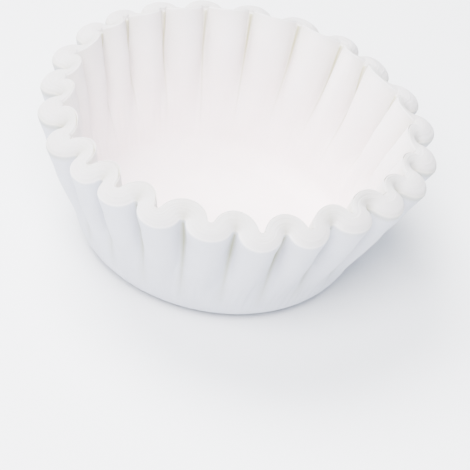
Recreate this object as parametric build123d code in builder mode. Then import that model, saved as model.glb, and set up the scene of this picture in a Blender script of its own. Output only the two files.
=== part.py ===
from build123d import *
import math
import os

# Basket coffee filter sleeve: round paper blanks pressed together into a flat
# base and a fluted wall. One solid, millimetres, +Z up, origin at the centre
# of the flat underside.

# ---- driving dimensions -------------------------------------------------
flutes = 24                 # outward lobes round the rim
rim_mean_r = 82.2           # mid-wall radius at the rim
rim_mean_z = 69.5           # mid-wall height at the rim
corner_r = 58.4             # radius where the mid-base and mid-wall lines cross
base_t = 7.0                # thickness through the flat base
rim_t = 8.4                 # wall thickness, square to the paper, at the rim
rim_fluff = 1.0             # extra thickness outside, where the sheets stand looser near the rim
corner_bend = 13.4          # mid-wall bend radius between base and wall
flute_rim = 8.7             # peak-to-peak flute depth at the rim, mid-wall
flute_from = 0.08           # share of the way up the wall where the flutes begin
flute_to = 0.68             # and where they reach their full depth
fold_r = 5.5                # mid-wall radius of each fold
rim_top = 73.6              # height of the inmost sheet's edge
rim_in_r = 75.0             # radius where the rim face begins to fall
rim_fall = 0.62             # how far the rim face drops per mm outward, sheet by sheet
spans = 8                   # spline spans across one flute

# small uneven spacing (degrees) and reach (mm) of each lobe, as hand-pulled
# stacks have; lobe 0 stands at +Y and they run counter-clockwise from above
lobe_shift = [1.6, 1.9, 1.6, 1.1, -0.8, 1.3, 1.3, 0.6, 2.2, 0.5, -2.0, -3.1,
              -1.7, -1.3, -1.2, -0.2, 0.9, -0.6, -1.8, -0.5, -0.9, 1.7, -0.8, 0.3]
lobe_reach = [2.0, 1.8, 2.0, 1.7, 0.0, -1.3, -1.8, -0.5, 1.0, 0.7, 0.9, 0.2,
              -0.6, -0.1, -0.3, -2.2, -0.8, 1.5, 2.0, 2.8, 2.0, 0.2, 2.4, 2.2]

# ---- mid-wall profile ---------------------------------------------------
lean = math.atan2(rim_mean_r - corner_r, rim_mean_z - base_t / 2)   # wall from vertical
turn = math.pi / 2 - lean                                           # bend angle
setback = corner_bend * math.tan(turn / 2)
flat_r = corner_r - setback                                         # flat base radius
bend_len = corner_bend * turn
slant = math.hypot(rim_mean_r - corner_r, rim_mean_z - base_t / 2) - setback
wall_len = bend_len + slant


def mid_wall(s):
    """(radius, height, lean from vertical) of the mid-wall at distance s from the flat base's edge."""
    if s < bend_len:
        a = s / corner_bend
        return (flat_r + corner_bend * math.sin(a),
                base_t / 2 + corner_bend * (1 - math.cos(a)), math.pi / 2 - a)
    d = s - bend_len
    return (flat_r + corner_bend * math.sin(turn) + d * math.sin(lean),
            base_t / 2 + corner_bend * (1 - math.cos(turn)) + d * math.cos(lean), lean)


def depth_at(s):
    """Peak-to-peak flute depth at s."""
    u = ((s - bend_len) / (wall_len - bend_len) - flute_from) / (flute_to - flute_from)
    u = min(1.0, max(0.0, u))
    return flute_rim * u * u * (3 - 2 * u)


def half_t(s, side):
    """From the mid-wall to its inner (side -1) or outer (side +1) face at s."""
    u = min(1.0, max(0.0, (s - bend_len) / (wall_len - bend_len)))
    if side < 0:
        return 0.5 * (base_t + (rim_t - base_t) * u)
    f = min(1.0, max(0.0, (s - wall_len + 15) / 13))
    return 0.5 * rim_t - rim_fluff * (1 - f * f * (3 - 2 * f)) * u - 0.5 * (rim_t - base_t) * (1 - u)


def fold_angle(half_pitch, depth, r):
    """Steepest slope of the folded line: arcs of radius r joined by straight flanks."""
    r = min(r, half_pitch / 2 / math.sin(2 * math.atan(min(1.0, depth / half_pitch))) if depth > 1e-6 else r)
    lo, hi = 0.0, math.radians(89)
    for _ in range(60):
        a = (lo + hi) / 2
        flank = max(0.0, (half_pitch - 2 * r * math.sin(a)) / math.cos(a))
        got = 2 * r * (1 - math.cos(a)) + flank * math.sin(a)
        if got < depth:
            lo = a
        else:
            hi = a
    return (lo + hi) / 2, r


def fold(t, half_pitch, depth):
    """Mid-wall fold at t (0 lobe, 1 inward fold): (along, outward, normal along, normal outward)."""
    if depth < 1e-5:
        return t * half_pitch, 0.0, 0.0, 1.0
    a, r = fold_angle(half_pitch, depth, fold_r)
    flank = max(0.0, (half_pitch - 2 * r * math.sin(a)) / math.cos(a))
    total = 2 * r * a + flank
    q = t * total
    if q <= r * a:
        b = q / r
        return r * math.sin(b), depth / 2 - r * (1 - math.cos(b)), math.sin(b), math.cos(b)
    if q <= r * a + flank:
        d = q - r * a
        return (r * math.sin(a) + d * math.cos(a), depth / 2 - r * (1 - math.cos(a)) - d * math.sin(a),
                math.sin(a), math.cos(a))
    b = (total - q) / r
    return half_pitch - r * math.sin(b), -depth / 2 + r * (1 - math.cos(b)), math.sin(b), math.cos(b)


def wall_point(k, t, side, s):
    """Point on the inner (side -1) or outer (side +1) face: flute k, t in -1..1 across it, at s."""
    rho, z, tilt = mid_wall(s)
    grow = min(1.0, max(0.0, (s - bend_len) / (wall_len - bend_len)))
    half_pitch = math.pi * rho / flutes
    along, out, na, no = fold(abs(t), half_pitch, depth_at(s))
    if t < 0:
        along, na = -along, -na
    h = half_t(s, side)
    along, out = along + side * h * na, out + side * h * no
    frac = along / half_pitch / 2            # -0.5..0.5 of a pitch
    j = k if frac < 0 else (k + 1) % flutes
    i = (k - 1) % flutes if frac < 0 else k
    w = frac + 1 if frac < 0 else frac
    w = w * w * (3 - 2 * w)
    out += grow ** 1.5 * (lobe_reach[i] * (1 - w) + lobe_reach[j] * w)
    shift = grow * (lobe_shift[i] * (1 - w) + lobe_shift[j] * w)
    ang = math.radians(90 + shift) + 2 * math.pi / flutes * (k + frac)
    return rho + out * math.cos(tilt), z - out * math.sin(tilt), ang


def ring(side, height):
    """One row of points per flute where that face crosses a level plane, crease to crease."""
    rows = []
    for k in range(flutes):
        row = []
        for n in range(spans + 1):
            # the outer face creases at the inward folds, the inner face at the lobes
            if side > 0:
                kk, t = k, -1 + 2 * n / spans
            elif n <= spans / 2:
                kk, t = k, 2 * n / spans
            else:
                kk, t = (k + 1) % flutes, -2 + 2 * n / spans
            lo, hi = bend_len * 0.25, wall_len + 30
            for _ in range(50):
                s = (lo + hi) / 2
                if wall_point(kk, t, side, s)[1] < height:
                    lo = s
                else:
                    hi = s
            rho, _, ang = wall_point(kk, t, side, s)
            row.append((rho * math.cos(ang), rho * math.sin(ang)))
        rows.append(row)
    for k in range(flutes):
        rows[k][-1] = rows[(k + 1) % flutes][0]
    return rows


def bend_profile(side, level):
    """Radius and height where the bend of that face meets the level, and the bend radius."""
    radius = corner_bend + side * base_t / 2
    start = base_t / 2 - side * base_t / 2
    a = math.acos(1 - (level - start) / radius)
    return flat_r + radius * math.sin(a), start, radius


top = rim_top + 8                    # above every part of the rim
outer_levels = [8.5, 14.0, 22.0, 32.0, 44.0, 52.0, 57.0, 62.0, 67.0, top]
inner_levels = [11.5, 17.0, 24.0, 32.0, 40.0, 50.0, 62.0, top]

with BuildPart() as filter_body:
    # outside of the fluted wall
    for level in outer_levels:
        with BuildSketch(Plane.XY.offset(level)):
            with BuildLine():
                for row in ring(1, level):
                    Spline(*row)
            make_face()
    loft()
    # flat underside and the rounded corner above it
    with BuildSketch(Plane.XZ):
        with BuildLine():
            r_end, z0, bend = bend_profile(1, outer_levels[0])
            Line((0, z0), (flat_r, z0))
            RadiusArc((flat_r, z0), (r_end, outer_levels[0]), -bend)
            Line((r_end, outer_levels[0]), (0, outer_levels[0]))
            Line((0, outer_levels[0]), (0, z0))
        make_face()
    revolve(axis=Axis.Z)
    # inside of the fluted wall
    for level in inner_levels:
        with BuildSketch(Plane.XY.offset(level)):
            with BuildLine():
                for row in ring(-1, level):
                    Spline(*row)
            make_face()
    loft(mode=Mode.SUBTRACT)
    # flat floor inside and the bend round it
    with BuildSketch(Plane.XZ):
        with BuildLine():
            r_end, z0, bend = bend_profile(-1, inner_levels[0])
            Line((0, z0), (flat_r, z0))
            RadiusArc((flat_r, z0), (r_end, inner_levels[0]), -bend)
            Line((r_end, inner_levels[0]), (0, inner_levels[0]))
            Line((0, inner_levels[0]), (0, z0))
        make_face()
    revolve(axis=Axis.Z, mode=Mode.SUBTRACT)
    # rim face: the inmost sheet stands highest, each one outside it a little lower
    with BuildSketch(Plane.XZ):
        with BuildLine():
            Polyline((0, rim_top), (rim_in_r, rim_top), (rim_in_r + 45, rim_top - 45 * rim_fall),
                     (rim_in_r + 45, top + 20), (0, top + 20), close=True)
        make_face()
    revolve(axis=Axis.Z, mode=Mode.SUBTRACT)

os.makedirs("parts", exist_ok=True)
filter_body.part.label = "filter"
export_step(filter_body.part, "parts/filter.step")
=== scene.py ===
import math

import bpy
import numpy as np
from mathutils import Matrix, Vector


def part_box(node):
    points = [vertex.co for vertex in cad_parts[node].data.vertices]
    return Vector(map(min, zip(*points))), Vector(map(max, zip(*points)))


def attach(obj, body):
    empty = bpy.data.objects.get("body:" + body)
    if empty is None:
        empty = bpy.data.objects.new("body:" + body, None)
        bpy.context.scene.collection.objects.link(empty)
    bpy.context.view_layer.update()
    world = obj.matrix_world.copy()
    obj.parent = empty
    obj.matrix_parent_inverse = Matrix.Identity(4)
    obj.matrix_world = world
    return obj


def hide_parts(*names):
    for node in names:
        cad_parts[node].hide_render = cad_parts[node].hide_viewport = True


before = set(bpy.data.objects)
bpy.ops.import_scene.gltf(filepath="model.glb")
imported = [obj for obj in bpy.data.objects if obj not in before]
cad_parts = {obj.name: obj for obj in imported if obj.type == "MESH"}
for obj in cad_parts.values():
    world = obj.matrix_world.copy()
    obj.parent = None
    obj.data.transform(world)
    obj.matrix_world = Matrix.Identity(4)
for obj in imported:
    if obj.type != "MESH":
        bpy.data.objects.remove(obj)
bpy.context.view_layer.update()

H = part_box("filter")[1][2] * 1000.0          # height of the inmost sheet's edge, mm

# ---------------------------------------------------------------- the folded wall
# Everything in the shape is in millimetres, in the CAD's frame: origin at the centre of the
# flat underside, +Z up. Lobe 0 stands at +Y and they run counter-clockwise from above.
FL = 24
PER = 26                     # columns of the mesh in one flute
RIM_R, RIM_Z = 82.2, 69.5    # mid-wall at the rim
CORNER_R, BASE_T, BEND = 58.4, 7.0, 13.4
RIM_T = 8.4
SHIFT = np.array([1.6, 1.9, 1.6, 1.1, -0.8, 1.3, 1.3, 0.6, 2.2, 0.5, -2.0, -3.1,
                  -1.7, -1.3, -1.2, -0.2, 0.9, -0.6, -1.8, -0.5, -0.9, 1.7, -0.8, 0.3])
REACH = np.array([2.0, 1.8, 2.0, 1.7, 0.0, -1.3, -1.8, -0.5, 1.0, 0.7, 0.9, 0.2,
                  -0.6, -0.1, -0.3, -2.2, -0.8, 1.5, 2.0, 2.8, 2.0, 0.2, 2.4, 2.2])
rng = np.random.default_rng(24)
DROOP = rng.uniform(-0.4, 0.4, FL)           # how much each lobe's edge stands up or down
LEAN = rng.uniform(-0.16, 0.16, FL)          # how far each lobe leans to one side
GROW = rng.uniform(0.93, 1.08, FL)           # how deep each lobe is pulled

lean = math.atan2(RIM_R - CORNER_R, RIM_Z - BASE_T / 2)
turn = math.pi / 2 - lean
setback = BEND * math.tan(turn / 2)
FLAT_R = CORNER_R - setback
BL = BEND * turn
SLANT = math.hypot(RIM_R - CORNER_R, RIM_Z - BASE_T / 2) - setback
L = BL + SLANT


def mid_wall(s):
    if s < BL:
        a = s / BEND
        return FLAT_R + BEND * math.sin(a), BASE_T / 2 + BEND * (1 - math.cos(a)), math.pi / 2 - a
    d = s - BL
    return (FLAT_R + BEND * math.sin(turn) + d * math.sin(lean),
            BASE_T / 2 + BEND * (1 - math.cos(turn)) + d * math.cos(lean), lean)


def up(s):
    return min(1.0, max(0.0, (s - BL) / (L - BL)))


def depth_at(s):
    """Peak-to-peak depth of the flutes at distance s up the wall."""
    w = min(1.0, max(0.0, (up(s) - 0.05) / 0.66))
    return 8.7 * (0.65 * w * w * (3 - 2 * w) + 0.35 * w ** 1.2)


def half_t(s, side):
    """From the middle of the wall to its inner or outer face; the outer sheets fluff out at the rim."""
    g = up(s)
    if side < 0:
        return 0.5 * (BASE_T + (RIM_T - BASE_T) * g)
    f = min(1.0, max(0.0, (s - (L - 15)) / 13))
    return 0.5 * BASE_T - 0.3 * g + (0.5 * (RIM_T - BASE_T) + 0.3 * g) * f * f * (3 - 2 * f)


def fold_angle(hp, depth, r):
    if depth < 1e-4:
        return 0.0, r
    r = min(r, hp / 2 / math.sin(2 * math.atan(min(1.0, depth / hp))))
    lo, hi = 0.0, math.radians(89)
    for _ in range(50):
        a = (lo + hi) / 2
        flank = max(0.0, (hp - 2 * r * math.sin(a)) / math.cos(a))
        if 2 * r * (1 - math.cos(a)) + flank * math.sin(a) < depth:
            lo = a
        else:
            hi = a
    return (lo + hi) / 2, r


def fold(t, hp, depth, r0=5.5):
    """Arrays (along, outward, normal along, normal outward) of the folded line at t (0 lobe, 1 inward fold)."""
    a, r = fold_angle(hp, depth, r0)
    if a < 1e-4:
        return t * hp, np.zeros_like(t), np.zeros_like(t), np.ones_like(t)
    flank = max(0.0, (hp - 2 * r * math.sin(a)) / math.cos(a))
    total = 2 * r * a + flank
    q = t * total
    b1, d, b2 = q / r, q - r * a, (total - q) / r
    first, mid = q <= r * a, (q > r * a) & (q <= r * a + flank)
    pick = lambda x, y, z: np.where(first, x, np.where(mid, y, z))
    return (pick(r * np.sin(b1), r * math.sin(a) + d * math.cos(a), hp - r * np.sin(b2)),
            pick(depth / 2 - r * (1 - np.cos(b1)),
                 depth / 2 - r * (1 - math.cos(a)) - d * math.sin(a),
                 -depth / 2 + r * (1 - np.cos(b2))),
            pick(np.sin(b1), math.sin(a), np.sin(b2)),
            pick(np.cos(b1), math.cos(a), np.cos(b2)))


K = np.repeat(np.arange(FL), PER)                      # flute of each column
T = np.tile(-1 + 2 * np.arange(PER) / PER, FL)         # place across it, -1..1
N = FL * PER
VEE_SHADE = np.clip(1 - (1 - np.abs(T)) / 0.48, 0, 1) ** 1.4  # 1 at an inward fold, the outer crease: where painted shade darkens the outer V clefts
CREASE_RNG = np.random.default_rng(9)
CREASE_SHADE_STRENGTH = CREASE_RNG.uniform(0.75, 1.0, FL)         # how dark each crease's painted shade is, varied from crease to crease
CREASE_LONG = CREASE_RNG.uniform(-0.07, 0.07, FL)       # and how far down each crease's painted shade runs
CREASE_SIDE = CREASE_RNG.uniform(-0.05, 0.05, FL)


def notch_shade(s):
    """1 in the inner fold line at a lobe's centre, where painted shade goes: broad at the rim, a thin line
    further down, then nothing.
    """
    g = up(s)
    wide = 0.13 + 0.30 * g
    band = np.clip(1 - np.abs(T - CREASE_SIDE[K]) / wide, 0, 1) ** 1.25
    f = np.clip((g + CREASE_LONG[K] - 0.12) / 0.72, 0, 1)
    soft = np.clip(1 - np.abs(T + CREASE_SIDE[K]) / 0.97, 0, 1) ** 1.15 * g ** 2.0
    return CREASE_SHADE_STRENGTH[K] * (band * f ** 1.1 * (0.95 - 0.60 * g ** 4) + 0.66 * soft)




def wave(ang, seed, freqs, amp):
    """Smooth seeded noise round the ring."""
    r = np.random.default_rng(seed)
    out = np.zeros_like(ang)
    for f in freqs:
        out += r.normal() * np.cos(f * ang) + r.normal() * np.sin(f * ang)
    return out * amp / math.sqrt(len(freqs))


def lobe_mix(values, frac):
    w = np.where(frac < 0, frac + 1, frac)
    w = w * w * (3 - 2 * w)
    i = np.where(frac < 0, (K - 1) % FL, K)
    j = np.where(frac < 0, K, (K + 1) % FL)
    return values[i] * (1 - w) + values[j] * w


def wall_row(s, tau, normal_off=0.0, radial_off=None):
    """The ring of points at s up the wall and tau across it (-1 inner face, +1 outer face)."""
    rho, z, tilt = mid_wall(s)
    g = up(s)
    hp = math.pi * rho / FL
    along, out, na, no = fold(np.abs(T), hp, depth_at(s))
    sgn = np.where(T < 0, -1.0, 1.0)
    along, na = along * sgn, na * sgn
    h = half_t(s, tau)
    deep = 1 + (GROW[K] - 1) * (1 + np.cos(np.pi * T)) / 2 * g
    along = along + (tau * h + normal_off) * na
    out = out * deep + (tau * h + normal_off) * no
    # the lobe leans to one side as it stands out
    along = along + LEAN[K] * g * (1 + np.cos(np.pi * T)) / 2 * np.maximum(out, 0)
    frac = along / hp / 2
    out = out + g ** 1.5 * lobe_mix(REACH, frac)
    shift = g * lobe_mix(SHIFT, frac)
    ang = np.radians(90 + shift) + 2 * math.pi / FL * (K + frac)
    r = rho + out * math.cos(tilt)
    zz = z - out * math.sin(tilt)
    # hand-pulled unevenness of the whole wall, and pressed wrinkles running up it
    r = r + g * wave(ang, 5, (2, 3, 5), 0.2)
    r = r + 0.10 * math.sin(math.pi * min(1, max(0, (s - 2) / (0.85 * L)))) * wave(ang, 11, (61, 73, 89, 97, 113, 131), 1.0)
    zz = zz + g ** 3 * (wave(ang, 7, (2, 3, 4), 0.2) + 0.5 * DROOP[K] * (1 + np.cos(np.pi * T)))
    if radial_off is not None:
        r = r + radial_off
    return np.stack([r * np.cos(ang), r * np.sin(ang), zz], 1)


# the rim: the inmost sheet stands highest, each sheet outside it a little lower, and the
# outermost ones fall away into a soft round shoulder
L_IN = L + (H - (RIM_Z + (RIM_T / 2 + 4.0) * math.sin(lean))) / math.cos(lean)
ANG0 = np.radians(90) + 2 * math.pi / FL * (K + T / 2)
NOTCH_SHADE = notch_shade(L)


SQUARE = 4.0                                 # how square the outer shoulder is


def rim_s(tau):
    w = min(1.0, (tau + 1) / 2)
    return L_IN - 2.0 * w + 0.5 * math.sin(math.pi * w) - 2.4 * (1 - (1 - w ** SQUARE) ** (1 / SQUARE))


# how far the inmost sheet has peeled off the rest, mm
front_left = np.exp(-((np.degrees(ANG0) % 360 - 232) / 38.0) ** 2)
PEEL = np.clip(0.10 + wave(ANG0, 77, (2, 3, 5, 7), 0.16), 0.02, None) + 0.75 * front_left * (0.45 - 0.55 * np.cos(np.pi * T))
PEEL = np.clip(PEEL, 0.02, None)


def peel_at(s):
    w = min(1.0, max(0.0, (s - (L_IN - 14)) / 14))
    return w * w * PEEL


# away from the front each lobe is stuffed fuller towards the rim: its two flanks lie against
# each other, so the inner fold closes up and the edges make one soft, slightly domed pad
ASIDE = np.clip((np.abs((np.degrees(ANG0) - 266 + 180) % 360 - 180) - 42) / 18, 0, 1)
ASIDE = ASIDE * ASIDE * (3 - 2 * ASIDE) * CREASE_RNG.uniform(0.8, 1.1, FL)[K]
IN_LOBE = 0.5 + 0.5 * np.cos(np.pi * T)
CLEFT = ASIDE * np.clip(1 - (1 - np.abs(T)) / 0.42, 0, 1) ** 1.2 * 2.6
SWELL = ASIDE * IN_LOBE ** 1.1 * (3.0 + 2.0 * np.abs(np.cos(ANG0)))


def swell_at(s, tau):
    """How far the lobes' sheets lie in towards the cup at s up the wall, mm."""
    w = min(1.0, max(0.0, (s - (L_IN - 26)) / 26))
    return w * w * (3 - 2 * w) * min(1.0, max(0.0, (0.7 - tau) / 1.7)) * SWELL


def cleft_at(s, tau):
    """How much deeper the outer folds cut in between the pads at s up the wall, mm."""
    w = min(1.0, max(0.0, (s - 0.35 * L) / (0.55 * L)))
    return w * w * (3 - 2 * w) * min(1.0, max(0.0, (tau + 0.4) / 1.4)) ** 1.3 * CLEFT


def pad_rise(tau):
    """How much the pads' edges stand above or below the plain rim, mm."""
    w = (tau + 1) / 2
    return ASIDE * (1.9 * IN_LOBE * math.sin(math.pi * w ** 0.8) - 1.3 * (1 - IN_LOBE) * w
                    - 0.8 * IN_LOBE * max(0.0, 1 - w / 0.12) ** 2) + 0.5 * (IN_LOBE - 0.5) * w


rows, info = [], []          # info: (rim 0..1, sheet place 0..1, distance v in mm, painted crease shade)


def add(row, rim=0.0, sheet=0.0, v=0.0, crease=None):
    rows.append(row)
    info.append((rim, sheet, v, np.zeros(N) if crease is None else crease))


def flat_row(r, z):
    return np.stack([r * np.cos(ANG0), r * np.sin(ANG0), np.full(N, z)], 1)


# floor of the cup, slightly dished
for f in (0.12, 0.3, 0.5, 0.68, 0.84, 0.95):
    r = FLAT_R * f
    add(flat_row(r, BASE_T - 0.25 * (1 - f * f)), v=r)
for s in np.linspace(0, BL, 9):
    add(wall_row(s, -1), v=FLAT_R + s)
# painted shade runs down the inner creases of the wall below
for s in np.linspace(BL, L_IN - 0.9, 46)[1:]:
    add(wall_row(s, -1, radial_off=-peel_at(s) - swell_at(s, -1)), v=FLAT_R + s, sheet=0.03 * up(s) ** 1.2,
        crease=notch_shade(s))
# crisp inner lip: the inmost sheet, the gap behind it, then the rim face sheet by sheet
s_top = L_IN
proud = 0.35 * PEEL
for ds, tau, r_in, gap in ((-0.15, -1.0, 1.0, 0), (0.0, -0.975, 1.0, 0), (-0.15, -0.95, 1.0, 0),
                           (-1.5, -0.945, 0.8, 1), (-1.5, -0.93, 0.0, 1), (-0.25, -0.925, 0.0, 0)):
    ring = wall_row(s_top + ds, tau, radial_off=-peel_at(s_top) * r_in - swell_at(s_top, tau))
    ring[:, 2] += pad_rise(tau) + proud * (r_in > 0.9) - gap * 2.2 * np.clip(PEEL - 0.1, 0, 1) * (0.5 - 0.5 * np.cos(np.pi * T))
    # painted shade in the inner crease at the lip, and darker in the gap behind the peeled inmost sheet
    add(ring, rim=0.3, sheet=0.035, v=FLAT_R + s_top + ds, crease=np.maximum(0.25 * NOTCH_SHADE, 0.7 * gap))
sheet_rng = np.random.default_rng(41)
taus = np.concatenate([np.linspace(-0.90, 0.50, 27), 1 - 0.5 * (1 - np.arange(1, 14) / 13) ** 2.2])
for n, tau in enumerate(taus):
    w = (tau + 1) / 2
    face = max(0.0, 1 - w ** 9) ** 0.5
    fray = (sheet_rng.normal() * 0.05 + wave(ANG0, 300 + n, (3, 7, 11, 17, 24), 0.05)) * face
    ring = wall_row(rim_s(tau), tau, radial_off=-swell_at(s_top, tau) - cleft_at(s_top, tau))
    ring[:, 2] += fray + pad_rise(tau)
    # painted shade: in the inner crease, in the outer V clefts, a little over the inward folds and along the
    # side pads' outer shoulders
    add(ring, rim=face, sheet=w, v=FLAT_R + L + n * 0.3,
        crease=np.clip(0.12 * NOTCH_SHADE * (1 - w) ** 2 + (0.10 + 0.40 * w ** 2) * VEE_SHADE + 0.05 * (1 - IN_LOBE)
                       + 0.42 * ASIDE * max(0.0, (w - 0.82) / 0.18) ** 1.3, 0, 1))
s_low = rim_s(1) - 0.8
outer_top = wall_row(s_low, 1, radial_off=-cleft_at(s_low, 1))
outer_top[:, 2] += pad_rise(1.0)
# painted shade in the outer V clefts, and a little all along the side pads
add(outer_top, v=FLAT_R + s_low, sheet=1.0, crease=np.clip(VEE_SHADE + 0.2 * ASIDE, 0, 1))
for s in np.linspace(s_low, BL, 37)[1:]:
    ring = wall_row(s, 1, radial_off=-cleft_at(s, 1))
    ring[:, 2] += pad_rise(1.0) * max(0.0, 1 - (s_low - s) / 12)
    # painted shade down the outer V clefts, strongest near the rim
    add(ring, v=FLAT_R + s, sheet=1.0, crease=VEE_SHADE * min(1, 1.5 * up(s)))
for s in np.linspace(BL, 0, 12)[1:]:
    add(wall_row(s, 1), v=FLAT_R + s, sheet=1.0)
for f in (0.93, 0.8, 0.62, 0.42, 0.2):
    add(flat_row(FLAT_R * f, 0.0), v=FLAT_R * f)


def build_mesh(name, rows, info, top_pole, bottom_pole, closed_loop=False):
    R = len(rows)
    co = np.concatenate(rows) / 1000.0
    faces = []
    idx = np.arange(R * N).reshape(R, N)
    nxt = np.roll(idx, -1, axis=1)
    last = R if closed_loop else R - 1
    for i in range(last):
        j = (i + 1) % R
        faces.append(np.stack([idx[j], nxt[j], nxt[i], idx[i]], 1))
    faces = np.concatenate(faces)
    extra_v, tris = [], []
    if top_pole is not None:
        extra_v.append(top_pole)
        p = R * N + len(extra_v) - 1
        tris += [(p, int(idx[0, c]), int(nxt[0, c])) for c in range(N)]
    if bottom_pole is not None:
        extra_v.append(bottom_pole)
        p = R * N + len(extra_v) - 1
        tris += [(p, int(nxt[R - 1, c]), int(idx[R - 1, c])) for c in range(N)]
    if extra_v:
        co = np.concatenate([co, np.array(extra_v) / 1000.0])
    me = bpy.data.meshes.new(name)
    me.from_pydata(co.tolist(), [], [tuple(map(int, f)) for f in faces] + tris)
    me.update()
    nv = len(co)
    for key, col in (("rim", 0), ("sheet", 1)):
        data = np.zeros(nv, np.float32)
        data[:R * N] = np.repeat([r[col] for r in info], N)
        me.attributes.new(key, 'FLOAT', 'POINT').data.foreach_set("value", data)
    # per-vertex strength of the painted shade in the folds
    crease = np.zeros(nv, np.float32)
    crease[:R * N] = np.concatenate([r[3] for r in info])
    me.attributes.new("crease", 'FLOAT', 'POINT').data.foreach_set("value", crease)
    lay = np.zeros((nv, 3), np.float32)
    # circumferential place (as a ring, so it has no seam) and distance up the paper
    lay[:R * N, 0] = np.tile(np.cos(ANG0), R) * 82
    lay[:R * N, 1] = np.tile(np.sin(ANG0), R) * 82
    lay[:R * N, 2] = np.repeat([r[2] for r in info], N)
    me.attributes.new("lay", 'FLOAT_VECTOR', 'POINT').data.foreach_set("vector", lay.ravel())
    me.polygons.foreach_set("use_smooth", np.ones(len(me.polygons), bool))
    ob = bpy.data.objects.new(name, me)
    bpy.context.scene.collection.objects.link(ob)
    return ob


sleeve = build_mesh("filter_sleeve", rows, info, (0, 0, BASE_T - 0.25), (0, 0, 0.0))

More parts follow.
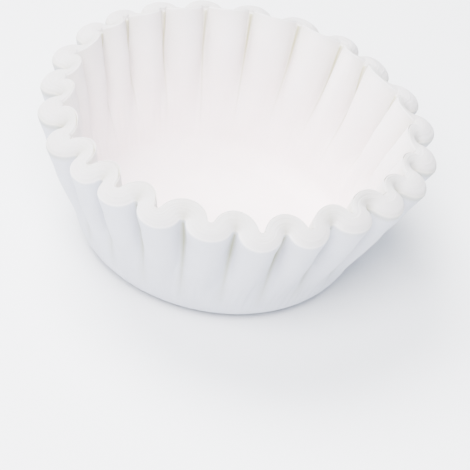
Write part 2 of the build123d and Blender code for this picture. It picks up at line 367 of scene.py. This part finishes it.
# ---------------------------------------------------------------- paper
def paper_material():
    m = bpy.data.materials.new("white_paper")
    m.use_nodes = True
    nt = m.node_tree
    nt.nodes.clear()
    n = lambda kind, **kw: _node(nt, kind, **kw)
    out = n("ShaderNodeOutputMaterial")
    bs = n("ShaderNodeBsdfPrincipled")
    nt.links.new(bs.outputs[0], out.inputs[0])
    bs.inputs["Specular IOR Level"].default_value = 0.18
    bs.inputs["Subsurface Weight"].default_value = 0.25
    bs.inputs["Subsurface Radius"].default_value = (1.0, 0.85, 0.75)
    bs.inputs["Subsurface Scale"].default_value = 0.0018
    bs.inputs["Sheen Weight"].default_value = 0.12
    bs.inputs["Sheen Roughness"].default_value = 0.6

    att = {k: n("ShaderNodeAttribute") for k in ("rim", "sheet", "crease", "lay")}
    for k, node in att.items():
        node.attribute_name = k
    coord = n("ShaderNodeTexCoord")

    # colour: warm white, cloudy like pressed pulp, with painted shade in the folds: darker and olive-cream down
    # them
    cloud = n("ShaderNodeTexNoise")
    cloud.inputs["Scale"].default_value = 45
    cloud.inputs["Detail"].default_value = 5
    cloud.inputs["Roughness"].default_value = 0.6
    nt.links.new(coord.outputs["Object"], cloud.inputs["Vector"])
    ramp = n("ShaderNodeValToRGB")
    ramp.color_ramp.elements[0].position = 0.3
    ramp.color_ramp.elements[0].color = (0.800, 0.765, 0.768, 1)
    ramp.color_ramp.elements[1].position = 0.72
    ramp.color_ramp.elements[1].color = (0.865, 0.835, 0.842, 1)
    nt.links.new(cloud.outputs["Fac"], ramp.inputs["Fac"])
    # painted shade: the folds darkened towards a dark olive where the mesh's crease mask is high
    crease_mix = n("ShaderNodeMix", data_type='RGBA', blend_type='MIX')
    crease_mix.inputs["B"].default_value = (0.33, 0.32, 0.15, 1)
    cf = n("ShaderNodeMath", operation='MULTIPLY')
    cf.inputs[1].default_value = 0.92
    cf.use_clamp = True
    nt.links.new(att["crease"].outputs["Fac"], cf.inputs[0])
    nt.links.new(cf.outputs[0], crease_mix.inputs["Factor"])
    nt.links.new(ramp.outputs["Color"], crease_mix.inputs["A"])
    # sheet edges: fine parallel lines across the rim face, on a rim face multiplied down to about 0.7 as painted
    # shade
    lines = n("ShaderNodeTexNoise")
    lines.noise_dimensions = '2D'
    comb = n("ShaderNodeCombineXYZ")
    sep = n("ShaderNodeSeparateXYZ")
    nt.links.new(att["lay"].outputs["Vector"], sep.inputs[0])
    sh = n("ShaderNodeMath", operation='MULTIPLY')
    sh.inputs[1].default_value = 46.0
    nt.links.new(att["sheet"].outputs["Fac"], sh.inputs[0])
    ax = n("ShaderNodeMath", operation='MULTIPLY')
    ax.inputs[1].default_value = 0.03
    nt.links.new(sep.outputs["X"], ax.inputs[0])
    nt.links.new(sh.outputs[0], comb.inputs["X"])
    nt.links.new(ax.outputs[0], comb.inputs["Y"])
    nt.links.new(comb.outputs[0], lines.inputs["Vector"])
    lines.inputs["Scale"].default_value = 1.0
    lines.inputs["Detail"].default_value = 2
    line_c = n("ShaderNodeMapRange")
    line_c.inputs["From Min"].default_value = 0.25
    line_c.inputs["From Max"].default_value = 0.5
    line_c.inputs["To Min"].default_value = 0.66
    line_c.inputs["To Max"].default_value = 0.72
    nt.links.new(lines.outputs["Fac"], line_c.inputs["Value"])
    # painted shade: the rim face's colour multiplied by the 0.66-0.72 grey of the sheet-edge lines
    rim_lines_and_shade = n("ShaderNodeMix", data_type='RGBA', blend_type='MULTIPLY')
    nt.links.new(att["rim"].outputs["Fac"], rim_lines_and_shade.inputs["Factor"])
    nt.links.new(crease_mix.outputs["Result"], rim_lines_and_shade.inputs["A"])
    grey = n("ShaderNodeCombineColor")
    for c in ("Red", "Green", "Blue"):
        nt.links.new(line_c.outputs["Result"], grey.inputs[c])
    nt.links.new(grey.outputs[0], rim_lines_and_shade.inputs["B"])
    # the inside faces are tinted a little pink; the outside of the stack is painted darker and cooler as painted
    # shade, with a painted highlight as a pale line along the rim's outer shoulder
    side_shade_ramp = n("ShaderNodeValToRGB")
    stops = side_shade_ramp.color_ramp.elements
    stops[0].position, stops[0].color = 0.0, (1.03, 0.945, 0.95, 1)
    # painted shade: the outer wall darker and bluer
    stops[1].position, stops[1].color = 1.0, (0.69, 0.735, 0.81, 1)
    for place in (0.03, 0.90):
        stops.new(place).color = (1, 1, 1, 1)
    # painted highlight: a pale line along the rim's outer shoulder
    edge_highlight = stops.new(0.955)
    edge_highlight.color = (1.14, 1.14, 1.14, 1)
    nt.links.new(att["sheet"].outputs["Fac"], side_shade_ramp.inputs["Fac"])
    outer = n("ShaderNodeMix", data_type='RGBA', blend_type='MULTIPLY')
    outer.inputs["Factor"].default_value = 1.0
    nt.links.new(rim_lines_and_shade.outputs["Result"], outer.inputs["A"])
    nt.links.new(side_shade_ramp.outputs["Color"], outer.inputs["B"])
    nt.links.new(outer.outputs["Result"], bs.inputs["Base Color"])

    # roughness
    rr = n("ShaderNodeMapRange")
    rr.inputs["To Min"].default_value = 0.82
    rr.inputs["To Max"].default_value = 0.96
    nt.links.new(cloud.outputs["Fac"], rr.inputs["Value"])
    nt.links.new(rr.outputs["Result"], bs.inputs["Roughness"])

    # bump: pulp fibre, crepe ridges round the wall, sheet edges on the rim
    fibre = n("ShaderNodeTexNoise")
    fibre.inputs["Scale"].default_value = 1500
    fibre.inputs["Detail"].default_value = 4
    fibre.inputs["Roughness"].default_value = 0.65
    fibre.inputs["Distortion"].default_value = 0.6
    nt.links.new(coord.outputs["Object"], fibre.inputs["Vector"])
    crepe_map = n("ShaderNodeMapping")
    crepe_map.inputs["Scale"].default_value = (0.9, 0.9, 0.16)
    nt.links.new(att["lay"].outputs["Vector"], crepe_map.inputs["Vector"])
    crepe = n("ShaderNodeTexNoise")
    crepe.inputs["Scale"].default_value = 1.0
    crepe.inputs["Detail"].default_value = 3
    nt.links.new(crepe_map.outputs[0], crepe.inputs["Vector"])
    b1 = n("ShaderNodeBump")
    b1.inputs["Strength"].default_value = 0.35
    b1.inputs["Distance"].default_value = 0.00012
    nt.links.new(fibre.outputs["Fac"], b1.inputs["Height"])
    b2 = n("ShaderNodeBump")
    b2.inputs["Strength"].default_value = 0.35
    b2.inputs["Distance"].default_value = 0.00035
    nt.links.new(crepe.outputs["Fac"], b2.inputs["Height"])
    nt.links.new(b1.outputs[0], b2.inputs["Normal"])
    rimh = n("ShaderNodeMath", operation='MULTIPLY')
    nt.links.new(lines.outputs["Fac"], rimh.inputs[0])
    nt.links.new(att["rim"].outputs["Fac"], rimh.inputs[1])
    b3 = n("ShaderNodeBump")
    b3.inputs["Strength"].default_value = 0.3
    b3.inputs["Distance"].default_value = 0.0003
    nt.links.new(rimh.outputs[0], b3.inputs["Height"])
    nt.links.new(b2.outputs[0], b3.inputs["Normal"])
    nt.links.new(b3.outputs[0], bs.inputs["Normal"])
    return m


def _node(nt, kind, **kw):
    node = nt.nodes.new(kind)
    for k, v in kw.items():
        setattr(node, k, v)
    return node


paper = paper_material()
for ob in (sleeve,):
    ob.data.materials.append(paper)
    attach(ob, "root")
    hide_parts("filter")

# ---------------------------------------------------------------- floor, light, camera
bpy.ops.mesh.primitive_plane_add(size=8, location=(0, 0, 0))
floor = bpy.context.object
floor.name = "floor"
fm = bpy.data.materials.new("pale_floor")
fm.use_nodes = True
fb = fm.node_tree.nodes["Principled BSDF"]
fb.inputs["Base Color"].default_value = (0.80, 0.81, 0.825, 1)
fb.inputs["Roughness"].default_value = 0.9
fb.inputs["Specular IOR Level"].default_value = 0.1
floor.data.materials.append(fm)

world = bpy.data.worlds.new("studio")
bpy.context.scene.world = world
world.use_nodes = True
wt = world.node_tree
bg = wt.nodes["Background"]
bg.inputs["Strength"].default_value = 1.0
tc, sx = wt.nodes.new("ShaderNodeTexCoord"), wt.nodes.new("ShaderNodeSeparateXYZ")
sky = wt.nodes.new("ShaderNodeValToRGB")
sky.color_ramp.elements[0].position = 0.05
sky.color_ramp.elements[0].color = (0.10, 0.17, 0.31, 1)
sky.color_ramp.elements[1].position = 0.75
sky.color_ramp.elements[1].color = (1.20, 1.32, 1.52, 1)
wt.links.new(tc.outputs["Generated"], sx.inputs[0])
wt.links.new(sx.outputs["Z"], sky.inputs["Fac"])
wt.links.new(sky.outputs["Color"], bg.inputs["Color"])


def area(name, loc, target, size, power, color=(1, 1, 1)):
    light = bpy.data.lights.new(name, 'AREA')
    light.shape = 'DISK'
    light.size = size
    light.energy = power
    light.color = color
    ob = bpy.data.objects.new(name, light)
    ob.location = loc
    ob.rotation_euler = (Vector(target) - Vector(loc)).to_track_quat('-Z', 'Y').to_euler()
    bpy.context.scene.collection.objects.link(ob)
    return ob


area("key", (-0.62, 0.46, 1.30), (0, 0, 0.04), 1.0, 92, (1.0, 0.98, 0.965))
area("fill", (-0.20, -0.84, 1.18), (0, 0, 0.04), 0.9, 84, (1.0, 0.98, 0.98))

# the view: a long lens, a little over a third of the way up, rolled to the right
PHASE = math.radians(9.561721290381245 - 15.0)
RV = np.array([[0.98599729, 0.01655989, 0.1659371],
               [0.13951494, -0.62699979, -0.76642472],
               [0.09135062, 0.7788434, -0.62053044]])
CAM = np.array([-94.64403875, -896.52729641, 641.98252031])
turn_z = np.array([[math.cos(-PHASE), -math.sin(-PHASE), 0], [math.sin(-PHASE), math.cos(-PHASE), 0], [0, 0, 1]])
RV = RV @ turn_z.T
loc = (turn_z @ CAM + np.array([0, 0, H])) / 1000.0
cam_data = bpy.data.cameras.new("camera")
cam_data.sensor_width = 36
cam_data.lens = 2500.0 / 470.0 * 36
cam_data.clip_start = 0.05
cam = bpy.data.objects.new("camera", cam_data)
rot = Matrix((tuple(RV[0]), tuple(-RV[1]), tuple(-RV[2]))).transposed()
cam.matrix_world = Matrix.Translation(Vector(loc)) @ rot.to_4x4()
bpy.context.scene.collection.objects.link(cam)
bpy.context.scene.camera = cam
